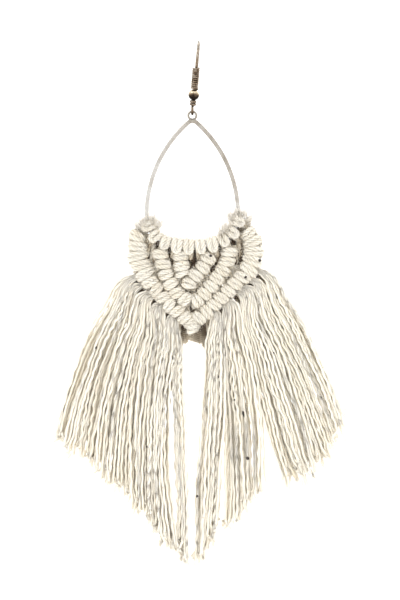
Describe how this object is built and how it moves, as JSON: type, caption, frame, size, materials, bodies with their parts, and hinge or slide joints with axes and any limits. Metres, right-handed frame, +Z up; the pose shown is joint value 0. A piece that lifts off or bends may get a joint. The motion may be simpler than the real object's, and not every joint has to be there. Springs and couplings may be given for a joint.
{
  "type": "tassel earring",
  "caption": "Drop earring that hangs from an ear: a fish hook ear wire carries a teardrop wire frame with knotted cotton chevrons and a long parted fringe.",
  "frame": {"origin": "the top of the ear wire's bend, on the middle of the wire, where it sits in the ear", "axes": "+Z up with the earring hanging, the face of the drop towards -Y, +X to the right as seen from the front"},
  "size_m": [0.079, 0.0135, 0.1407],
  "materials": {
    "bronze_wire": "aged dark bronze plating, brighter on the crests",
    "bronze_bead": "aged dark bronze plating, smooth",
    "silver_band": "bright silver plating with soft rub marks",
    "cotton_cord": "natural unbleached cotton cord, several yarns, with dark specks of seed",
    "cotton_yarn": "natural cotton cord untwisted to its yarns, wavy and soft, with fluffy cut ends"
  },
  "bodies": {
    "hook": {"ear_wire": "bronze_wire", "wire_coil": "bronze_wire", "wire_bead": "bronze_bead"},
    "drop": {"teardrop_frame": "silver_band", "mounting_knot_1": "cotton_cord", "mounting_knot_2": "cotton_cord", "mounting_knot_3": "cotton_cord", "mounting_knot_4": "cotton_cord", "mounting_knot_5": "cotton_cord", "mounting_knot_6": "cotton_cord", "mounting_knot_7": "cotton_cord", "mounting_knot_8": "cotton_cord", "mounting_knot_9": "cotton_cord", "mounting_knot_10": "cotton_cord", "inner_chevron": "cotton_cord", "middle_chevron": "cotton_cord", "fringe_left": "cotton_yarn", "fringe_right": "cotton_yarn"}
  },
  "joints": [
    {"name": "drop_swing", "type": "hinge", "parent": "hook", "child": "drop", "pos_m": [-0.00179, 0, -0.01857], "axis": [1, 0, 0], "range_deg": [-90, 90]}
  ]
}
